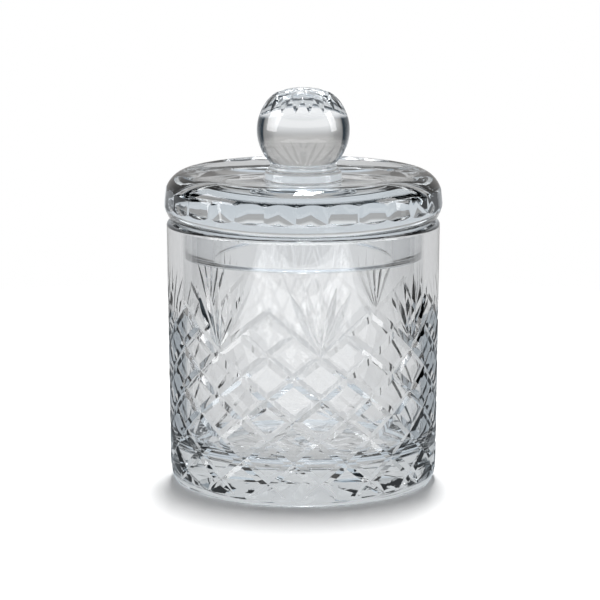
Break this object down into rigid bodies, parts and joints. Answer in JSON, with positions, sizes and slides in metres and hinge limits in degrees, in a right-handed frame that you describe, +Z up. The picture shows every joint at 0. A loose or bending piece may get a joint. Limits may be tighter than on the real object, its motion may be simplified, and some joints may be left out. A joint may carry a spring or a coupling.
{
  "type": "powder jar",
  "caption": "Round cut-glass powder jar with a diamond lattice, leaf fans and a lift-off ball-knob lid, for powder or small vanity items.",
  "frame": {"origin": "middle of the foot, on the surface that the jar stands on", "axes": "+Z up along the axis of the jar, lid and knob; -Y is the front"},
  "size_m": [0.1018, 0.1018, 0.1454],
  "materials": {
    "crystal": "polished clear cut crystal"
  },
  "bodies": {
    "jar": {"jar": "crystal"},
    "lid": {"lid": "crystal", "lid_knob": "crystal"}
  },
  "joints": [
    {"name": "lid_lift", "type": "slide", "parent": "jar", "child": "lid", "axis": [0, 0, 1], "range_m": [0, 0.06]}
  ]
}
